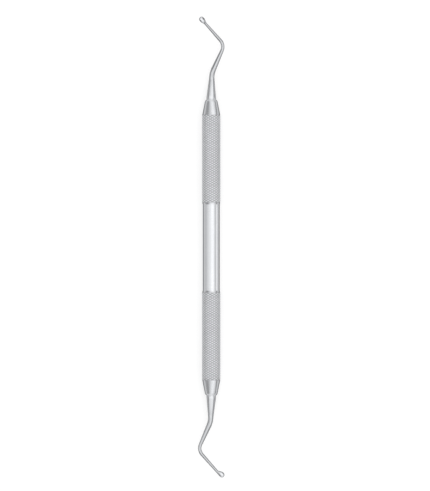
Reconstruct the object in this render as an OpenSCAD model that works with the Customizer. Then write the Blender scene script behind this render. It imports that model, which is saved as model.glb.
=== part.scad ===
// Dental spoon excavator, double ended: a knurled solid handle with a bent spoon tip in each collet.
// The handle lies along Y, with the upper tip at +Y. Both tips are bent in the XY plane.
// The origin is the middle of the handle, on its axis. The bowl of the upper spoon opens towards +Z.

/* [Handle] */
// Length of the handle between the two collet mouths
handle_len = 108.8; // [95:0.1:130]
// Diameter over the crests of the knurl
knurl_d = 6.8; // [6.3:0.1:9]
// Diameter of the smooth middle of the handle
middle_d = 6.2; // [5.6:0.1:6.6]
// Length of the smooth middle of the handle
middle_len = 31.7; // [10:0.1:45]
// Length of the slope between the smooth middle and each knurled band
lip_len = 0.65; // [0.3:0.05:1.5]

/* [Knurl] */
// Height of the knurl's crests over the crossings of its grooves
knurl_depth = 0.24; // [0.1:0.01:0.35]
// Height of the crests over the plain shoulders at the ends of each band
crest_proud = 0.12; // [0.05:0.01:0.15]
// Width of one diamond round the handle
diamond_w = 1.59; // [1.2:0.01:2.4]
// Length of one diamond along the handle
diamond_len = 0.875; // [0.8:0.005:1.6]

/* [Collets] */
// Length of the slope from the knurled band to the chamfer
collet_len = 4.9; // [3:0.1:9]
// Width of the chamfer round the collet's mouth
chamfer_w = 0.35; // [0.2:0.05:0.6]
// Length of the chamfer at the collet's mouth
mouth_len = 0.65; // [0.3:0.05:1.5]
// Wall between the bore and the chamfer at the mouth
mouth_wall = 0.22; // [0.15:0.01:0.4]

/* [Tip fit] */
// Diameter of a tip's tang and of its collar outside the handle
tang_d = 3.5; // [3:0.05:3.6]
// Length of the tang inside the handle
tang_len = 12; // [6:0.5:20]
// Length of the collar outside the handle
collar_len = 1.5; // [0.5:0.1:4]
// Difference between the diameters of the bore and the tang
bore_clearance = 0.02; // [0.01:0.01:0.1]
// Free depth of the bore beyond the end of the tang
bore_relief = 0.5; // [0.2:0.1:2]

/* [Shank] */
// Ledge between the collar and the foot of the shank's cone
foot_ledge = 0.04; // [0.03:0.01:0.3]
// Diameter of the first bend
bend_a_d = 1.88; // [1.4:0.02:2.4]
// Diameter of the second bend
bend_b_d = 1.24; // [1:0.02:1.36]
// Diameter of the neck behind the spoon
neck_d = 0.96; // [0.8:0.02:1]
// Lean of the first stretch away from the handle's axis, in degrees
lean_deg = 1.6; // [0:0.1:3]
// Turn of the first bend, in degrees
bend_a_deg = 22.45; // [10:0.05:40]
// Turn of the second bend, in degrees
bend_b_deg = 65.5; // [40:0.5:80]
// Radius of the first bend's centre line
bend_a_r = 8.6; // [5:0.1:12]
// Radius of the second bend's centre line
bend_b_r = 3.5; // [2.5:0.1:4.5]
// Length of the straight cone from the collar to the first bend
first_len = 6.64; // [4:0.02:12]
// Length of the straight stretch between the two bends
second_len = 7.41; // [4:0.02:12]
// Length of the straight stretch from the second bend to the spoon
last_len = 8.12; // [4:0.02:12]

/* [Spoons] */
// Length of a spoon from its neck to its toe
spoon_len = 3.27; // [2.9:0.01:5]
// Width of a spoon over its rim
spoon_w = 1.94; // [1.5:0.02:2.6]
// Distance from the neck to the widest place of a spoon
widest_at = 1.99; // [1.6:0.01:2.3]
// Depth of a spoon's round back under its rim
back_depth = 0.56; // [0.5:0.01:0.9]
// Depth of the bowl under its rim
bowl_depth = 0.38; // [0.2:0.01:0.4]
// Width of the flat rim round the bowl
rim_w = 0.12; // [0.08:0.01:0.3]
// Height of the rim over the shank's centre line
rim_rise = 0.12; // [0:0.01:0.25]
// Distance from the neck to the heel of the bowl
heel_at = 0.5; // [0.3:0.01:0.8]
// Sideways offset of the lower spoon from its shank
lower_offset = 0.5; // [0:0.01:0.6]

/* [Hidden] */
$fn = 96;
steel = "#C9CBCD";
bright_steel = "#D6D8DA";
knurl_r = knurl_d / 2;
groove_r = knurl_r - knurl_depth;
shoulder_r = knurl_r - crest_proud;
middle_r = middle_d / 2;
// Crests and groove crossings take turns round the handle, two to a diamond
columns = 2 * round(PI * knurl_d / diamond_w);
column_deg = 360 / columns;
// The solid core under the knurl clears the flats between the groove crossings
core_gap = 0.1;
core_r = groove_r * cos(column_deg / 2) - core_gap;
// Each band runs this far into the slopes at its two ends
band_tuck = 0.1;
half_len = handle_len / 2;
middle_end = middle_len / 2;
band_from = middle_end + lip_len;
collet_from = half_len - mouth_len;
band_to = collet_from - collet_len;
band_len = band_to - band_from;
rows = 2 * round((band_len + 2 * band_tuck) / diamond_len);
row_len = (band_len + 2 * band_tuck) / rows;
bore_d = tang_d + bore_clearance;
mouth_d = bore_d + 2 * mouth_wall;
collet_d = mouth_d + 2 * chamfer_w;
foot_d = tang_d - 2 * foot_ledge;
// The leaning cone starts this far inside the collar
foot_tuck = 0.1;
// A bend runs this far into the stretches at its ends, which are this much thicker than it
bend_tuck = 0.06;
bend_ledge = 0.01;
bore_depth = tang_len + bore_relief;
// Rings and points of a spoon's surface
spoon_rings = 24;
top_steps = 12;
back_steps = 14;
neck_r = neck_d / 2;
// A spoon's first ring starts inside the neck, a little narrower than it
neck_tuck = 0.06;
neck_inset = 0.015;

function ease(t) = let (k = min(1, max(0, t))) k * k * (3 - 2 * k);
function swell(t) = pow(max(0, 1 - pow(min(1, max(0, t)), 2.5)), 0.4);

// Radius of the knurl's grid at one column and row: the end rows stay at the groove crossings
function knurl_r_at(c, k) = (k > 0 && k < rows && (c + k) % 2 == 0) ? knurl_r : groove_r;

function knurl_points() = [
    for (k = [0 : rows])
        for (c = [0 : columns - 1])
            let (r = knurl_r_at(c, k), a = (c + 0.5) * column_deg - 90)
                [r * cos(a), r * sin(a), k * row_len]
];

// Each square of the grid folds along its groove, from one groove crossing to the other
function knurl_sides() = [
    for (k = [0 : rows - 1])
        for (c = [0 : columns - 1])
            let (
                d = (c + 1) % columns,
                p = k * columns + c,
                q = k * columns + d,
                s = (k + 1) * columns + d,
                t = (k + 1) * columns + c
            )
            each ((c + k) % 2 == 0 ? [[p, t, q], [q, t, s]] : [[p, t, s], [p, s, q]])
];

module knurl_band() {
    first_end = [for (c = [0 : columns - 1]) c];
    last_end = [for (c = [columns - 1 : -1 : 0]) rows * columns + c];
    polyhedron(
        points = knurl_points(),
        faces = concat(knurl_sides(), [first_end, last_end]),
        convexity = 4
    );
}

// One half of the handle's turned profile, as radius and distance from the middle
function half_profile() = [
    [middle_r, 0],
    [middle_r, middle_end],
    [shoulder_r, band_from],
    [core_r, band_from],
    [core_r, band_to],
    [shoulder_r, band_to],
    [collet_d / 2, collet_from],
    [mouth_d / 2, half_len]
];

module turned_core() {
    up = half_profile();
    n = len(up);
    rotate_extrude()
        polygon(concat(
            [[0, -half_len]],
            [for (i = [n - 1 : -1 : 1]) [up[i][0], -up[i][1]]],
            [for (i = [1 : n - 1]) up[i]],
            [[0, half_len]]
        ));
}

module handle() {
    color(steel)
        rotate([-90, 0, 0])
            difference() {
                union() {
                    turned_core();
                    translate([0, 0, band_from - band_tuck])
                        knurl_band();
                    rotate([180, 0, 0])
                        translate([0, 0, band_from - band_tuck])
                            knurl_band();
                }
                for (side = [0, 180])
                    rotate([side, 0, 0])
                        translate([0, 0, half_len - bore_depth])
                            cylinder(h = bore_depth + mouth_len, d = bore_d);
            }
}

// A round stretch along +Y
module stretch(length, d1, d2) {
    rotate([-90, 0, 0])
        cylinder(h = length, d1 = d1, d2 = d2);
}

// A round bend that starts along +Y and turns towards +X, tucked into its neighbours
module bend(radius, d, turn) {
    tuck = bend_tuck / radius * 180 / PI;
    translate([radius, 0, 0])
        rotate([0, 0, 180 - turn - tuck])
            rotate_extrude(angle = turn + 2 * tuck)
                translate([radius, 0])
                    circle(d = d - 2 * bend_ledge);
}

// Moves its children to the end of such a bend
module past_bend(radius, turn) {
    translate([radius * (1 - cos(turn)), radius * sin(turn), 0])
        rotate([0, 0, -turn])
            children();
}

// Sizes of a spoon at a distance u from its neck
function spoon_half_w(u) = u <= 0
    ? neck_r - neck_inset
    : u < widest_at
        ? neck_r + (spoon_w / 2 - neck_r) * ease(u / widest_at)
        : spoon_w / 2 * swell((u - widest_at) / (spoon_len - widest_at));
function spoon_rim_z(u) = rim_rise * ease(u / heel_at);
function spoon_crown(u) = (u <= 0 ? neck_r - neck_inset : neck_r * (1 - ease(u / heel_at)));
function spoon_back(u) = u <= 0
    ? neck_r - neck_inset
    : u < widest_at
        ? neck_r + (back_depth - neck_r) * ease(u / widest_at) + spoon_rim_z(u)
        : (back_depth + rim_rise) * swell((u - widest_at) / (spoon_len - widest_at));
function spoon_bowl(u) =
    let (mid = (heel_at + spoon_len) / 2, half = (spoon_len - heel_at) / 2 - rim_w, t = (u - mid) / half)
        bowl_depth * pow(max(0, 1 - t * t), 0.6);

// Height of a spoon's upper side at a distance u and a share s of its half width
function spoon_top(u, s) =
    let (h = spoon_half_w(u), inner = max(0.05, 1 - rim_w / max(0.2, h)), k = min(1, abs(s) / inner))
        spoon_rim_z(u) + spoon_crown(u) * sqrt(max(0, 1 - s * s)) - spoon_bowl(u) * (1 - k * k);

// Shares of the half width at which a ring has its upper points, the bowl's two edges among them
function top_share(u, i) =
    let (inner = max(0.05, 1 - rim_w / max(0.2, spoon_half_w(u))))
        i == 0 ? 1 : i == top_steps ? -1 : inner * cos(180 * (i - 1) / (top_steps - 2));

function spoon_ring(u, offset) =
    let (h = spoon_half_w(u), shift = offset * ease(u / widest_at), b = spoon_back(u))
        concat(
            [for (i = [0 : top_steps])
                let (s = top_share(u, i)) [shift + h * s, u, spoon_top(u, s)]],
            [for (i = [1 : back_steps - 1])
                let (a = 180 * i / back_steps)
                    [shift - h * cos(a), u, spoon_rim_z(u) - b * sin(a)]]
        );

// Distances of the rings from the neck, closer together towards the toe
function ring_at(i) = i == 0 ? -neck_tuck : (spoon_len - 0.004) * sin(90 * (i - 1) / (spoon_rings - 1));

module spoon(offset) {
    n = top_steps + back_steps;
    points = concat(
        [for (i = [0 : spoon_rings]) each spoon_ring(ring_at(i), offset)],
        [[offset, spoon_len, rim_rise]]
    );
    sides = [
        for (i = [0 : spoon_rings - 1])
            for (j = [0 : n - 1])
                let (k = (j + 1) % n, p = i * n)
                    each [[p + j, p + k, p + n + k], [p + j, p + n + k, p + n + j]]
    ];
    last = spoon_rings * n;
    toe = [for (j = [0 : n - 1]) [last + j, last + (j + 1) % n, len(points) - 1]];
    polyhedron(
        points = points,
        faces = concat([[for (j = [n - 1 : -1 : 0]) j]], sides, toe),
        convexity = 6
    );
}

// A tip from its tang to its spoon, with the collet's mouth at y = 0 and the bowl facing +Z
module tip(offset, faces_up) {
    translate([0, -tang_len, 0])
        stretch(tang_len + collar_len, tang_d, tang_d);
    translate([0, collar_len, 0])
        rotate([0, 0, -lean_deg]) {
            translate([0, -foot_tuck, 0])
                stretch(first_len + foot_tuck, foot_d, bend_a_d);
            translate([0, first_len, 0]) {
                bend(bend_a_r, bend_a_d, bend_a_deg);
                past_bend(bend_a_r, bend_a_deg) {
                    stretch(second_len, bend_a_d, bend_b_d);
                    translate([0, second_len, 0])
                        mirror([1, 0, 0]) {
                            bend(bend_b_r, bend_b_d, bend_b_deg);
                            past_bend(bend_b_r, bend_b_deg) {
                                stretch(last_len, bend_b_d, neck_d);
                                translate([0, last_len, 0])
                                    mirror([0, 0, faces_up ? 0 : 1])
                                        spoon(offset);
                            }
                        }
                }
            }
        }
}

module upper_tip() {
    color(bright_steel)
        translate([0, half_len, 0])
            tip(0, true);
}

module lower_tip() {
    color(bright_steel)
        translate([0, -half_len, 0])
            rotate([0, 0, 180])
                tip(lower_offset, false);
}

handle();
upper_tip();
lower_tip();
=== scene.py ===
import math

import bpy
from mathutils import Matrix, Vector


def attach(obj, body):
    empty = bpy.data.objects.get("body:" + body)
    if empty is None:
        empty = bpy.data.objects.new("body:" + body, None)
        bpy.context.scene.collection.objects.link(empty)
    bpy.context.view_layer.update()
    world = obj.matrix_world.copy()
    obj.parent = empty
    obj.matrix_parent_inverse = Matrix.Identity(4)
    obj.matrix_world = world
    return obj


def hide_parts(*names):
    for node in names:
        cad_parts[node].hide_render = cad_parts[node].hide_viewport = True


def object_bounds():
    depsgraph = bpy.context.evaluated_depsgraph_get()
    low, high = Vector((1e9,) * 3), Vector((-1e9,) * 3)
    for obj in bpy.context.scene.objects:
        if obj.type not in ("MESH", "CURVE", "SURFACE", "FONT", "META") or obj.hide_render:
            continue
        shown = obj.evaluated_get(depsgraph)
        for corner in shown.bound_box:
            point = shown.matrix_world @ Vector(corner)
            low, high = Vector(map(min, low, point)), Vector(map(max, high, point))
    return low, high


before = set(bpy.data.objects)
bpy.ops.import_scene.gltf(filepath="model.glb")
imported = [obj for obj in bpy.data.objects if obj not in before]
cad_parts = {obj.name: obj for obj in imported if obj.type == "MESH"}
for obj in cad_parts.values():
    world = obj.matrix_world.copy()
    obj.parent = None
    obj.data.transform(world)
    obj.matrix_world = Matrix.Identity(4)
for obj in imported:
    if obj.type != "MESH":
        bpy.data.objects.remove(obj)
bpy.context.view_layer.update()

MM = 0.001

# Sizes of the handle in millimetres, the same as in the solids
HANDLE_LEN = 108.8
KNURL_R = 3.4
KNURL_DEPTH = 0.24
CREST_PROUD = 0.12
MIDDLE_R = 3.1
MIDDLE_END = 15.85
LIP_LEN = 0.65
DIAMOND_W = 1.59
DIAMOND_LEN = 0.875
COLLET_LEN = 4.9
MOUTH_LEN = 0.65
MOUTH_R = 1.98
COLLET_R = 2.33
BORE_R = 1.76

# Sizes of the tips. A bend has the radius of its centre line and its angle
TANG_R = 1.75
COLLAR_LEN = 1.5
COLLAR_DROP = 0.085
LEAN = math.radians(1.6)
FIRST_LEN = 6.64
BEND_A = (8.6, math.radians(22.45))
SECOND_LEN = 7.41
BEND_B = (3.5, math.radians(65.5))
LAST_LEN = 8.12
BEND_A_R = 0.94
BEND_B_R = 0.62
NECK_R = 0.48

# Sizes of the spoons
SPOON_LEN = 3.27
SPOON_HALF_W = 0.97
WIDEST_AT = 1.99
BACK_DEPTH = 0.56
BOWL_DEPTH = 0.38
RIM_W = 0.12
RIM_RISE = 0.12
HEEL_AT = 0.5
LOWER_OFFSET = 0.5

# Finer sizes of the pieces made here
FILLET = 0.05
SHOULDER_LAND = 0.06
BAND_TUCK = 0.1
CORE_DROP = 0.1
FLANK_SHARE = 0.75
BORE_GAP = 0.005
INNER_LEN = 0.6
LEAN_RUN = 1.2
TAPER_RUN = 0.8
BEND_TAPER = 0.01
CROWN_LEN = 0.75
BOWL_CORNER = 0.6
RIM_ROUND = 0.025
TOE_GAP = 0.0015

# Powers of the curves round the toe, round the bowl's heel and down into the bowl
TOE_POWER = 2.5
HEEL_POWER = 2.4
BOWL_POWER = 3

# Limits that keep small forms in shape, as shares of what they lie on, and the least turn that is rounded
FILLET_SHARE = 0.4
RIM_FROM_LEAST = 0.25
RIM_FROM_MOST = 0.97
ROUND_SHARE = 0.3
LEAST_TURN = 0.02

# How fine the meshes are. The rim's points lie at these shares of its width
LATHE_SEGMENTS = 160
KNURL_PARTS = 4
TIP_POINTS = 96
SPOON_RINGS = 130
RIM_STEPS = (0.0, 0.03, 0.08, 0.16, 0.3, 0.6, 1.0)

# Shares of the tip's colour, painted light: full up to BRIGHT_LEN, painted shade on the thin shank and the
# rim, a painted highlight on the spoon's bowl and back
BRIGHT_LEN = 3.0
SHANK_SHADE = 0.84
RIM_SHADE = 0.46
BOWL_HIGHLIGHT = 1.12
BACK_HIGHLIGHT = 1.12

HALF_LEN = HANDLE_LEN / 2
BAND_FROM = MIDDLE_END + LIP_LEN
COLLET_FROM = HALF_LEN - MOUTH_LEN
BAND_TO = COLLET_FROM - COLLET_LEN
GROOVE_R = KNURL_R - KNURL_DEPTH
CORE_R = GROOVE_R - CORE_DROP
SHOULDER_R = KNURL_R - CREST_PROUD
COLUMNS = 2 * round(math.pi * 2 * KNURL_R / DIAMOND_W)


# Small helpers for shapes
def ease(t):
    """A smooth step from 0 to 1."""
    t = min(1.0, max(0.0, t))
    return t * t * (3 - 2 * t)


def swell(t):
    """A round fall from 1 to 0."""
    t = min(1.0, max(0.0, t))
    return max(0.0, 1 - t**TOE_POWER) ** (1 / TOE_POWER)


def add_object(name, data):
    obj = bpy.data.objects.new(name, data)
    bpy.context.scene.collection.objects.link(obj)
    return obj


def make_mesh(name, verts, faces, smooth=True):
    """An object from points in millimetres."""
    mesh = bpy.data.meshes.new(name)
    mesh.from_pydata([(x * MM, y * MM, z * MM) for x, y, z in verts], [], faces)
    mesh.validate()
    if smooth:
        mesh.shade_smooth()
    else:
        mesh.shade_flat()
    return add_object(name, mesh)


def ring_faces(rings, points):
    """Four-sided faces that join rings of as many points each."""
    faces = []
    for i in range(rings - 1):
        p, q = i * points, (i + 1) * points
        for k in range(points):
            m = (k + 1) % points
            faces.append((p + k, p + m, q + m, q + k))
    return faces


def rounded(profile, radius, steps=4):
    """A profile of (r, y) points with every inner corner rounded."""
    out = [profile[0]]
    for before, here, after in zip(profile, profile[1:], profile[2:]):
        p, q, s = Vector(before), Vector(here), Vector(after)
        a, b = (p - q), (s - q)
        turn = math.pi - a.angle(b)
        if turn < LEAST_TURN:
            out.append(here)
            continue
        cut = min(radius * math.tan(turn / 2), a.length * FILLET_SHARE, b.length * FILLET_SHARE)
        start, stop = q + a.normalized() * cut, q + b.normalized() * cut
        for i in range(steps + 1):
            t = i / steps
            out.append(tuple(start * (1 - t) ** 2 + q * 2 * t * (1 - t) + stop * t * t))
    out.append(profile[-1])
    return out


def lathe(name, profile):
    """A surface turned round the Y axis from (r, y) points, open at both ends."""
    verts = []
    for r, y in profile:
        for k in range(LATHE_SEGMENTS):
            a = 2 * math.pi * k / LATHE_SEGMENTS
            verts.append((r * math.cos(a), y, -r * math.sin(a)))
    return make_mesh(name, verts, ring_faces(len(profile), LATHE_SEGMENTS))


# The turned body of the handle, which runs as a core under the knurl and ends inside the bores
def handle_profile():
    half = [
        (MIDDLE_R, MIDDLE_END),
        (SHOULDER_R, BAND_FROM),
        (SHOULDER_R, BAND_FROM + SHOULDER_LAND),
        (CORE_R, BAND_FROM + BAND_TUCK),
        (CORE_R, BAND_TO - BAND_TUCK),
        (SHOULDER_R, BAND_TO - SHOULDER_LAND),
        (SHOULDER_R, BAND_TO),
        (COLLET_R, COLLET_FROM),
        (MOUTH_R, HALF_LEN),
        (BORE_R + BORE_GAP, HALF_LEN),
        (BORE_R + BORE_GAP, HALF_LEN - INNER_LEN),
    ]
    return [(r, -y) for r, y in reversed(half)] + half


def knurl_band(name, y_from, y_to):
    """A knurled band: diamonds with flat crests between two sets of crossing grooves."""
    rows = 2 * round((y_to - y_from) / DIAMOND_LEN)
    across, along = COLUMNS * KNURL_PARTS, rows * KNURL_PARTS
    verts, faces, crest = [], [], []
    for j in range(along + 1):
        end = min(1.0, min(j, along - j) / KNURL_PARTS)
        for i in range(across):
            x, y = (i % KNURL_PARTS) / KNURL_PARTS, (j % KNURL_PARTS) / KNURL_PARTS
            if (i // KNURL_PARTS + j // KNURL_PARTS) % 2:
                x = 1 - x
            s = min(x + y, 2 - x - y)
            high = min(1.0, (1 - s) / FLANK_SHARE) * end
            r = GROOVE_R + KNURL_DEPTH * high
            a = 2 * math.pi * (i / KNURL_PARTS + 0.5) / COLUMNS - math.pi / 2
            verts.append((r * math.cos(a), y_from + (y_to - y_from) * j / along, -r * math.sin(a)))
            crest.append(high)
    for j in range(along):
        p, q = j * across, (j + 1) * across
        for i in range(across):
            m = (i + 1) % across
            if (i // KNURL_PARTS + j // KNURL_PARTS) % 2:
                faces += [(p + i, q + m, q + i), (p + i, p + m, q + m)]
            else:
                faces += [(p + i, p + m, q + i), (p + m, q + m, q + i)]
    band = make_mesh(name, verts, faces, smooth=False)
    # The height of each point, which the material also uses to put painted shade in the grooves
    band.data.attributes.new("crest", "FLOAT", "POINT").data.foreach_set("value", crest)
    return band


# The centre line of a tip, with the collet's mouth at y = 0
def lean_at(y):
    """The tip's sections turn gently from square to the handle to its lean."""
    return LEAN * ease((y - COLLAR_LEN + LEAN_RUN / 2) / LEAN_RUN)


def centre_line():
    """Stations of (position, heading, radius) from inside the bore to the neck."""
    stations = []

    # The collar's rings lie closer together where it starts to lean
    for y in (-INNER_LEN, 0.0, 0.2, 0.4, 0.6, 0.8, 1.0, 1.15, 1.3, COLLAR_LEN):
        r = TANG_R - COLLAR_DROP * (max(0, y) / COLLAR_LEN) ** 2
        stations.append((Vector((0.0, y)), lean_at(y), r))

    # Each leg after the collar has a length, a turn, a number of rings and a radius at its end
    legs = [
        (FIRST_LEN, 0.0, 44, BEND_A_R + BEND_TAPER),
        (BEND_A[0] * BEND_A[1], BEND_A[1], 36, BEND_A_R - BEND_TAPER),
        (SECOND_LEN, 0.0, 40, BEND_B_R + BEND_TAPER),
        (BEND_B[0] * BEND_B[1], -BEND_B[1], 48, BEND_B_R - BEND_TAPER),
        (LAST_LEN, 0.0, 48, NECK_R),
    ]
    marks, radii = [0.0], [TANG_R - COLLAR_DROP]
    pos, head, s = Vector((0.0, COLLAR_LEN)), LEAN, 0.0
    runs = []
    for length, turn, rings, end_r in legs:
        marks.append(marks[-1] + length)
        radii.append(end_r)
        for _ in range(rings):
            head += turn / rings / 2
            pos = pos + Vector((math.sin(head), math.cos(head))) * (length / rings)
            head += turn / rings / 2
            s += length / rings
            runs.append((pos.copy(), head, s))

    def radius(d):
        for k in range(len(legs)):
            if d <= marks[k + 1] + 1e-9:
                t = (d - marks[k]) / (marks[k + 1] - marks[k])
                return radii[k] + (radii[k + 1] - radii[k]) * t
        return radii[-1]

    # The taper is averaged over a short length, so that no edge shows where it changes
    def soft_radius(d):
        span = min(TAPER_RUN, d, marks[-1] - d)
        return sum(radius(d + span * w / 4) for w in range(-4, 5)) / 9

    for p, h, d in runs:
        stations.append((p, min(h, lean_at(p.y)) if d < FIRST_LEN else h, soft_radius(d)))
    return stations


# The spoon's form at a distance u from the neck
def half_width(u):
    if u < WIDEST_AT:
        return NECK_R + (SPOON_HALF_W - NECK_R) * ease(u / WIDEST_AT)
    return SPOON_HALF_W * swell((u - WIDEST_AT) / (SPOON_LEN - WIDEST_AT))


def rim_height(u):
    return RIM_RISE * ease(u / HEEL_AT)


def crown(u):
    """How high the rod's round top still stands, where it runs out before the bowl."""
    return NECK_R * (1 - ease(u / CROWN_LEN))


def back(u):
    """How far the back lies below the rim."""
    if u < WIDEST_AT:
        return NECK_R + (BACK_DEPTH - NECK_R) * ease(u / WIDEST_AT) + rim_height(u)
    return (BACK_DEPTH + RIM_RISE) * swell((u - WIDEST_AT) / (SPOON_LEN - WIDEST_AT))


def bowl_half_width(u):
    """Half the width of the bowl inside its rim, rounded at both of its ends."""
    start, stop = HEEL_AT + RIM_W, SPOON_LEN - RIM_W
    if u <= start or u >= stop:
        return 0.0
    if u >= WIDEST_AT:
        return (SPOON_HALF_W - RIM_W) * swell((u - WIDEST_AT) / (stop - WIDEST_AT))
    corner = 1 - min(1.0, (u - start) / BOWL_CORNER)
    return (half_width(u) - RIM_W) * math.sqrt(1 - corner**HEEL_POWER)


def bowl(u):
    """The bowl's depth along its middle."""
    mid, half = (HEEL_AT + SPOON_LEN) / 2, (SPOON_LEN - HEEL_AT) / 2 - RIM_W
    return BOWL_DEPTH * max(0.0, 1 - abs((u - mid) / half) ** BOWL_POWER)


def spoon_ring(u):
    """Points (v, w, painted tone) of the spoon's section: first over the top, from rim to rim, then over the
    back. The tone is painted shade on the rim and a painted highlight in the bowl and along the back's
    middle.
    """
    h = half_width(u)
    inside = bowl_half_width(u)
    rim_from = min(RIM_FROM_MOST, max(inside, h * RIM_FROM_LEAST) / h)
    soft = ease(u / HEEL_AT) * min(RIM_ROUND, back(u) * ROUND_SHARE, h * ROUND_SHARE)
    # Painted shade on the rim, growing towards the spoon's widest place
    rim_shade = SHANK_SHADE + (RIM_SHADE - SHANK_SHADE) * ease(u / WIDEST_AT)
    half, steps = TIP_POINTS // 2, len(RIM_STEPS) - 1
    ring = []
    for k in range(TIP_POINTS):
        a = 2 * math.pi * k / TIP_POINTS
        s, up = math.cos(a), math.sin(a)
        if k > half:
            w = rim_height(u) - soft + (back(u) - soft) * up
            # Painted highlight towards the middle of the back
            painted_tone = rim_shade + (BACK_HIGHLIGHT - rim_shade) * ease(u / WIDEST_AT) * up * up
            ring.append((h * s, w, painted_tone))
            continue

        # The points over the top are drawn together on the rim
        j = min(k, half - k)
        if j <= steps:
            aligned = 1 - (1 - rim_from) * RIM_STEPS[j]
            aligned = aligned if k <= half / 2 else -aligned
        else:
            aligned = rim_from * math.cos(math.pi * (k - steps) / (half - 2 * steps))
        s += (aligned - s) * ease(u / (HEEL_AT + RIM_W))
        w = rim_height(u) + crown(u) * math.sqrt(max(0.0, 1 - s * s))
        painted_tone = rim_shade
        # Painted highlight inside the bowl, strongest at its middle
        if inside > 0 and abs(s) * h < inside:
            out = abs(s) * h / inside
            w -= bowl(u) * (1 - out**2)
            painted_tone += (BOWL_HIGHLIGHT - rim_shade) * (1 - out**4)
        if soft > 0 and (1 - abs(s)) * h < soft:
            w -= soft * (1 - math.sqrt(max(0.0, 1 - (1 - (1 - abs(s)) * h / soft) ** 2)))
        ring.append((h * s, w, painted_tone))
    return ring


def make_tip(name, offset, side, place):
    """A whole working end. side is 1 for a bowl that opens towards +Z and -1 for one that opens towards -Z.

    Each point keeps its place along the unbent rod and its share of painted shade and highlight, for the
    material.
    """
    verts, straight, painted_tones = [], [], []

    def add_point(p, v, w, length, painted_tone):
        verts.append((p.x, p.y, side * w))
        straight.extend((v * MM, length * MM, side * w * MM))
        painted_tones.append(painted_tone)

    line = centre_line()
    length, before = 0.0, line[0][0]
    for pos, head, r in line:
        across = Vector((math.cos(head), -math.sin(head)))
        length += (pos - before).length
        before = pos
        # Painted shade darkens the thin shank after BRIGHT_LEN
        painted_tone = 1 + (SHANK_SHADE - 1) * ease((length - BRIGHT_LEN) / FIRST_LEN)
        for k in range(TIP_POINTS):
            a = 2 * math.pi * k / TIP_POINTS
            v = r * math.cos(a)
            add_point(pos + across * v, v, r * math.sin(a), length, painted_tone)

    # The spoon goes on from the last station, which is the neck
    along = Vector((math.sin(head), math.cos(head)))
    for i in range(1, SPOON_RINGS + 1):
        u = (SPOON_LEN - TOE_GAP) * math.sin(math.pi / 2 * i / SPOON_RINGS)
        shift = -offset * ease(u / WIDEST_AT)
        for v, w, painted_tone in spoon_ring(u):
            add_point(pos + along * u + across * (v + shift), v, w, length + u, painted_tone)
    toe = pos + along * SPOON_LEN - across * offset
    add_point(toe, 0.0, RIM_RISE, length + SPOON_LEN, RIM_SHADE)

    rings = len(verts) // TIP_POINTS
    faces = ring_faces(rings, TIP_POINTS)
    last = (rings - 1) * TIP_POINTS
    for k in range(TIP_POINTS):
        faces.append((last + k, last + (k + 1) % TIP_POINTS, len(verts) - 1))
    if side < 0:
        faces = [face[::-1] for face in faces]
    obj = make_mesh(name, verts, faces)
    obj.data.attributes.new("straight", "FLOAT_VECTOR", "POINT").data.foreach_set("vector", straight)
    obj.data.attributes.new("painted_tone", "FLOAT", "POINT").data.foreach_set("value", painted_tones)
    obj.data.transform(place)
    obj.data.update()
    return obj


# The range that noise mostly keeps to, the whole range of a share, and the range of the faint clouds on steel
NOISE_ENDS = (0.3, 0.7)
WHOLE = (0.0, 1.0)
CLOUD_TINT = (0.975, 1.02)
CLOUD_GLOSS = (0.9, 1.12)


# Short ways to add nodes to the tree of a material or of the world
def clean_tree(owner):
    owner.use_nodes = True
    owner.node_tree.nodes.clear()
    return owner.node_tree


def add(tree, kind, inputs=None, **settings):
    """A new node. Each of its inputs, by name or number, gets a value or the output of another node."""
    node = tree.nodes.new(kind)
    for key, value in settings.items():
        setattr(node, key, value)
    for socket, value in (inputs or {}).items():
        if isinstance(value, bpy.types.NodeSocket):
            tree.links.new(value, node.inputs[socket])
        else:
            node.inputs[socket].default_value = value
    return node


def times(tree, one, other):
    return add(tree, "ShaderNodeMath", {0: one, 1: other}, operation="MULTIPLY").outputs[0]


def larger(tree, one, other):
    return add(tree, "ShaderNodeMath", {0: one, 1: other}, operation="MAXIMUM").outputs[0]


def tinted(tree, one, other):
    inputs = {"Factor": 1.0, 6: one, 7: other}
    return add(tree, "ShaderNodeMix", inputs, data_type="RGBA", blend_type="MULTIPLY").outputs[2]


def spread(tree, value, reach, ends=NOISE_ENDS):
    """Runs over its reach as the value runs from one of its ends to the other."""
    start, stop = ends
    low, high = reach
    inputs = {"Value": value, "From Min": start, "From Max": stop, "To Min": low, "To Max": high}
    return add(tree, "ShaderNodeMapRange", inputs).outputs[0]


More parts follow.
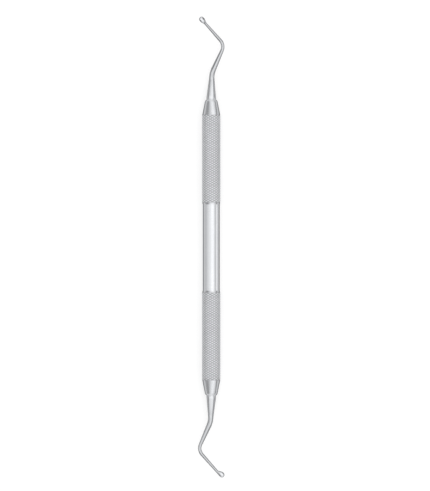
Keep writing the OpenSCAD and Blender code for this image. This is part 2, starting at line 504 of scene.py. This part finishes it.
class Steel:
    """Bare stainless steel, built up from patterns that change its colour, its gloss or its height."""

    def __init__(self, name, color, roughness, edge=0.0, follows=None):
        """edge is the shine kept at a slant, and follows names the attribute that the patterns lie along."""
        self.mat = bpy.data.materials.new(name)
        self.tree = clean_tree(self.mat)
        self.edge = edge
        if follows:
            self.where = self.attribute(follows, "Vector")
        else:
            self.where = add(self.tree, "ShaderNodeTexCoord").outputs["Object"]

        # Faint clouds left by handling and polishing, in the colour and the gloss
        cloud = self.noise((2, 5.5, 2), detail=5.0)
        ramp = add(self.tree, "ShaderNodeValToRGB", {"Fac": cloud})
        for element, at, share in zip(ramp.color_ramp.elements, NOISE_ENDS, CLOUD_TINT):
            element.position = at
            element.color = (*[min(1, c * share) for c in color], 1)
        self.surface = ramp.outputs[0]
        self.gloss = spread(self.tree, cloud, [roughness * share for share in CLOUD_GLOSS])
        self.bumps = []

    def attribute(self, name, output="Fac"):
        return add(self.tree, "ShaderNodeAttribute", attribute_name=name).outputs[output]

    def noise(self, size, turn=0.0, detail=3.0):
        """Noise with features of this size in millimetres along X, Y and Z, turned about Z in degrees."""
        scale, rotation = [v * MM for v in size], (0, 0, math.radians(turn))
        inputs = {"Vector": self.where, "Scale": scale, "Rotation": rotation}
        mapping = add(self.tree, "ShaderNodeMapping", inputs, vector_type="TEXTURE")
        inputs = {"Vector": mapping.outputs[0], "Scale": 1.0, "Detail": detail}
        return add(self.tree, "ShaderNodeTexNoise", inputs).outputs["Fac"]

    def shade(self, value):
        """Multiplies the colour by a value."""
        self.surface = tinted(self.tree, self.surface, value)

    def pattern(self, value, tint=None, gloss=None, depth=0.0, ends=NOISE_ENDS):
        """Lays a pattern over the steel. tint and gloss are factors at its ends, depth is in micrometres."""
        if tint:
            self.shade(spread(self.tree, value, tint, ends))
        if gloss:
            self.gloss = times(self.tree, self.gloss, spread(self.tree, value, gloss, ends))
        if depth:
            self.bumps.append((value, depth))

    def scratches(self, depth):
        """Hairline scratches of use, thin and far apart, in two directions."""
        for turn, width in ((24, 0.03), (-57, 0.025)):
            peaks = self.noise((5, width, 5), turn, detail=1.0)
            hair = spread(self.tree, peaks, WHOLE, ends=(0.7, 0.76))
            self.pattern(hair, tint=(1.0, 0.9), gloss=(1.0, 1.6), depth=-depth, ends=WHOLE)

    def material(self):
        """The material, from the colour, the gloss and the bumps."""
        bump = {}
        for height, depth in self.bumps:
            inputs = {"Strength": 1.0, "Distance": abs(depth) * 0.001 * MM, "Height": height, **bump}
            bump = {"Normal": add(self.tree, "ShaderNodeBump", inputs, invert=depth < 0).outputs[0]}
        inputs = {
            "Base Color": self.surface,
            "Metallic": 1.0,
            "Roughness": self.gloss,
            "Specular Tint": (self.edge, self.edge, self.edge, 1),
            **bump,
        }
        shader = add(self.tree, "ShaderNodeBsdfPrincipled", inputs)
        add(self.tree, "ShaderNodeOutputMaterial", {0: shader.outputs[0]})
        return self.mat


def turned_steel():
    """The smooth parts of the handle: fine turned lines round the Y axis, over wider ones."""
    steel = Steel("turned_steel", (0.515, 0.524, 0.54), 0.125)
    steel.pattern(steel.noise((11, 0.07, 11)), tint=(0.97, 1.03), gloss=(0.85, 1.15), depth=0.8)
    steel.pattern(steel.noise((20, 0.5, 20), detail=2.0), depth=0.56)
    steel.scratches(0.5)
    return steel.material()


def knurled_steel():
    """The knurl: a fine grain, and grooves duller than the crests, which hands keep polished; the grooves'
    colour is darkened with painted shade, a little unevenly.
    """
    groove_shade = 0.56
    steel = Steel("knurled_steel", (0.745, 0.754, 0.774), 0.31)
    steel.pattern(steel.noise((0.11, 0.11, 0.11)), depth=0.3)
    level = steel.attribute("crest")
    # Painted shade: the colour is darkened in the grooves by the crest height, a little unevenly
    uneven_groove_shade = spread(steel.tree, steel.noise((1.4, 1.4, 1.4)), (groove_shade * 0.9, groove_shade * 1.1))
    inputs = {"Value": level, "From Min": 0.1, "From Max": 0.75, "To Min": uneven_groove_shade}
    steel.shade(add(steel.tree, "ShaderNodeMapRange", inputs, interpolation_type="SMOOTHSTEP").outputs[0])
    steel.pattern(level, gloss=(1.5, 1.0), ends=WHOLE)
    return steel.material()


def tip_steel():
    """The tips: polishing marks run along the rod and follow its bends; painted shade darkens the thin shank
    and the rim, and a painted highlight brightens the spoon's bowl and back.
    """
    steel = Steel("tip_steel", (0.44, 0.447, 0.46), 0.1, edge=0.25, follows="straight")
    # The point attribute carries painted shade on the shank and rim and a painted highlight on the bowl and
    # back
    steel.shade(steel.attribute("painted_tone"))
    steel.pattern(steel.noise((0.09, 1.6, 0.09)), tint=(0.96, 1.04), gloss=(0.8, 1.25), depth=0.25)
    steel.scratches(0.3)
    return steel.material()


# The pieces of the instrument
handle = lathe("handle_body", rounded(handle_profile(), FILLET))
knurls = [
    knurl_band("knurl_upper", BAND_FROM - BAND_TUCK, BAND_TO + BAND_TUCK),
    knurl_band("knurl_lower", -BAND_TO - BAND_TUCK, -BAND_FROM + BAND_TUCK),
]
upper_place = Matrix.Translation((0, HALF_LEN * MM, 0))
lower_place = Matrix.Translation((0, -HALF_LEN * MM, 0)) @ Matrix.Rotation(math.pi, 4, "Z")
upper = make_tip("tip_upper", 0.0, 1, upper_place)
lower = make_tip("tip_lower", LOWER_OFFSET, -1, lower_place)

knurl_material, tip_material = knurled_steel(), tip_steel()
handle.data.materials.append(turned_steel())
for band in knurls:
    band.data.materials.append(knurl_material)
for tip in (upper, lower):
    tip.data.materials.append(tip_material)

for obj in (handle, *knurls, upper, lower):
    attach(obj, "root")
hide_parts("handle")
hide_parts("upper_tip")
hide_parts("lower_tip")

# The floor's half size in metres, its paper's grey, and the share of it that glows white where it is seen
FLOOR_HALF = 3
PAPER = 0.9
GLOW_SHARE = 0.62


def floor_white():
    """White paper that keeps a light soft shadow, and looks white in reflections too."""
    mat = bpy.data.materials.new("floor_white")
    tree = clean_tree(mat)
    rays = add(tree, "ShaderNodeLightPath").outputs
    seen = larger(tree, rays["Is Camera Ray"], rays["Is Glossy Ray"])
    seen = larger(tree, seen, rays["Is Transmission Ray"])
    share = times(tree, seen, GLOW_SHARE)
    paper = add(tree, "ShaderNodeBsdfDiffuse", {"Color": (PAPER, PAPER, PAPER, 1)})
    glow = add(tree, "ShaderNodeEmission", {"Strength": 1.0})
    blend = add(tree, "ShaderNodeMixShader", {0: share, 1: paper.outputs[0], 2: glow.outputs[0]})
    add(tree, "ShaderNodeOutputMaterial", {0: blend.outputs[0]})
    return mat


def make_floor():
    """A square as high as the underside of the instrument."""
    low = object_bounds()[0][2]
    corners = [(-1, -1), (1, -1), (1, 1), (-1, 1)]
    mesh = bpy.data.meshes.new("floor")
    mesh.from_pydata([(x * FLOOR_HALF, y * FLOOR_HALF, low) for x, y in corners], [], [(0, 1, 2, 3)])
    mesh.materials.append(floor_white())
    return add_object("floor", mesh)


floor = make_floor()

# Levels of the sky's bands at angles in degrees from straight up towards +X, from the middle to the ends
SKY_BANDS = [
    {-90: 0.9, -64: 1.07, -35: 1.36, -6: 1.6, 20: 1.74, 35: 1.58, 50: 1.22, 66: 1.06, 81: 1.7, 90: 1.95},
    {-90: 0.25, -71: 0.7, -55: 1.4, -36: 1.8, -10: 1.95, 32: 1.95, 49: 1.75, 62: 1.25, 76: 0.5, 90: 0.2},
    {-90: 0.8, -58: 0.52, -41: 0.68, -23: 0.92, -7: 1.16, 10: 1.42, 27: 1.57, 45: 1.52, 63: 1.12, 84: 0.5},
    {-90: 0.3, -52: 0.45, -32: 1.2, -15: 1.7, 22: 1.75, 38: 1.2, 55: 0.35, 90: 0.2},
    {-90: 1.05, -45: 1.18, 0: 1.38, 45: 1.26, 90: 1.15},
]

# The range of |y| over which each band after the first takes over, and the level at which a stop is white
SKY_FADES = [(0.03, 0.2), (0.2, 0.38), (0.36, 0.6), (0.6, 0.85)]
SKY_LEVEL = 2.0


def sky_ramp(tree, place, band):
    ramp = add(tree, "ShaderNodeValToRGB", {"Fac": place})
    ramp.color_ramp.interpolation = "CARDINAL"
    elements = ramp.color_ramp.elements
    for i, (angle, level) in enumerate(band.items()):
        at, grey = (angle + 90) / 180, level / SKY_LEVEL
        element = elements[i] if i < 2 else elements.new(at)
        element.position = at
        element.color = (grey, grey, grey, 1)
    return ramp.outputs[0]


def studio_world():
    """Soft studio light: a wide pale sky, brightest overhead and a little to the right."""
    world = bpy.data.worlds.new("studio")
    bpy.context.scene.world = world
    tree = clean_tree(world)
    generated = add(tree, "ShaderNodeTexCoord").outputs["Generated"]
    split = add(tree, "ShaderNodeSeparateXYZ", {0: generated}).outputs
    angle = add(tree, "ShaderNodeMath", {0: split["X"], 1: split["Z"]}, operation="ARCTAN2").outputs[0]
    place = spread(tree, angle, WHOLE, ends=(-math.pi / 2, math.pi / 2))
    out_y = add(tree, "ShaderNodeMath", {0: split["Y"]}, operation="ABSOLUTE").outputs[0]
    light = sky_ramp(tree, place, SKY_BANDS[0])
    for band, (start, stop) in zip(SKY_BANDS[1:], SKY_FADES):
        inputs = {"Value": out_y, "From Min": start, "From Max": stop}
        share = add(tree, "ShaderNodeMapRange", inputs, interpolation_type="SMOOTHSTEP").outputs[0]
        inputs = {"Factor": share, 6: light, 7: sky_ramp(tree, place, band)}
        light = add(tree, "ShaderNodeMix", inputs, data_type="RGBA").outputs[2]
    background = add(tree, "ShaderNodeBackground", {"Color": light, "Strength": SKY_LEVEL})
    add(tree, "ShaderNodeOutputWorld", {0: background.outputs[0]})


def key_lamp():
    """A weak round lamp above the right side, in metres and watts, for a soft shadow."""
    data = bpy.data.lights.new("key", "AREA")
    data.shape = "DISK"
    data.size = 0.9
    data.energy = 0.25
    lamp = add_object("key", data)
    lamp.location = (0.35, 0.1, 1.1)
    lamp.rotation_euler = (-lamp.location).to_track_quat("-Z", "Y").to_euler()


# The photograph's size in pixels, the pixel of the handle's middle, and the size of a pixel in millimetres
PHOTO_W, PHOTO_H = 430, 491
MIDDLE_X, MIDDLE_Y = 211.25, 247.5
PIXEL = 0.3686


def top_camera():
    """A camera straight above, far enough to take in the photograph's frame."""
    data = bpy.data.cameras.new("camera")
    data.lens = 200
    data.sensor_width = 36
    data.clip_start = 0.05
    data.clip_end = 20
    camera = add_object("camera", data)
    x, y = (PHOTO_W / 2 - MIDDLE_X) * PIXEL, (MIDDLE_Y - PHOTO_H / 2) * PIXEL
    height = PHOTO_H * PIXEL / 2 / (data.sensor_width / 2 / data.lens)
    camera.location = (x * MM, y * MM, height * MM)
    camera.rotation_euler = (0, 0, 0)
    return camera


studio_world()
key_lamp()
bpy.context.scene.camera = top_camera()
bpy.context.scene.view_settings.view_transform = "Standard"
